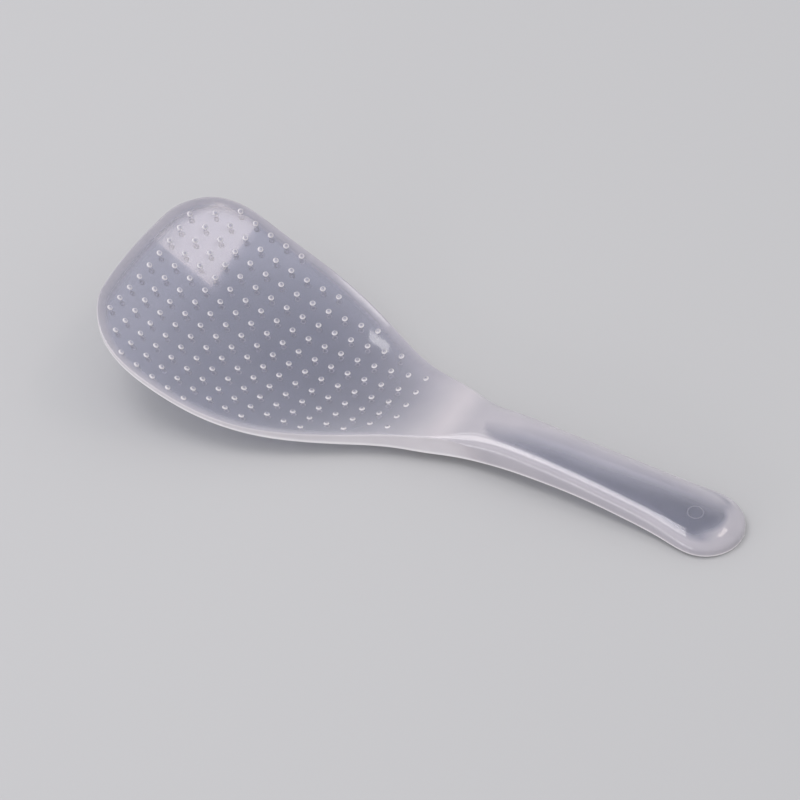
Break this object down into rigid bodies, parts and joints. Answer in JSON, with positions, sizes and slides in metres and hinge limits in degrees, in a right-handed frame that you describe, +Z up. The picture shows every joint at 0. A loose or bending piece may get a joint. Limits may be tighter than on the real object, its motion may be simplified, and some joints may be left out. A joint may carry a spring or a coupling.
{
  "type": "rice paddle",
  "caption": "Translucent moulded rice paddle: dished blade with small nubs on both faces, a solid neck and a hollow arched handle with a round end",
  "frame": {"origin": "middle of the footprint at table height, with the paddle lying at rest, dish upward", "axes": "+X runs from the blade to the handle, +Y across the paddle, +Z up out of the dish"},
  "size_m": [0.1922, 0.0692, 0.0291],
  "materials": {
    "milky_plastic": "smooth milky translucent polypropylene, glossy, with small surface nubs on the blade"
  },
  "bodies": {
    "root": {"blade": "milky_plastic", "front_nubs": "milky_plastic", "back_nubs": "milky_plastic", "neck": "milky_plastic", "handle": "milky_plastic", "ejector_rings": "milky_plastic"}
  },
  "joints": []
}
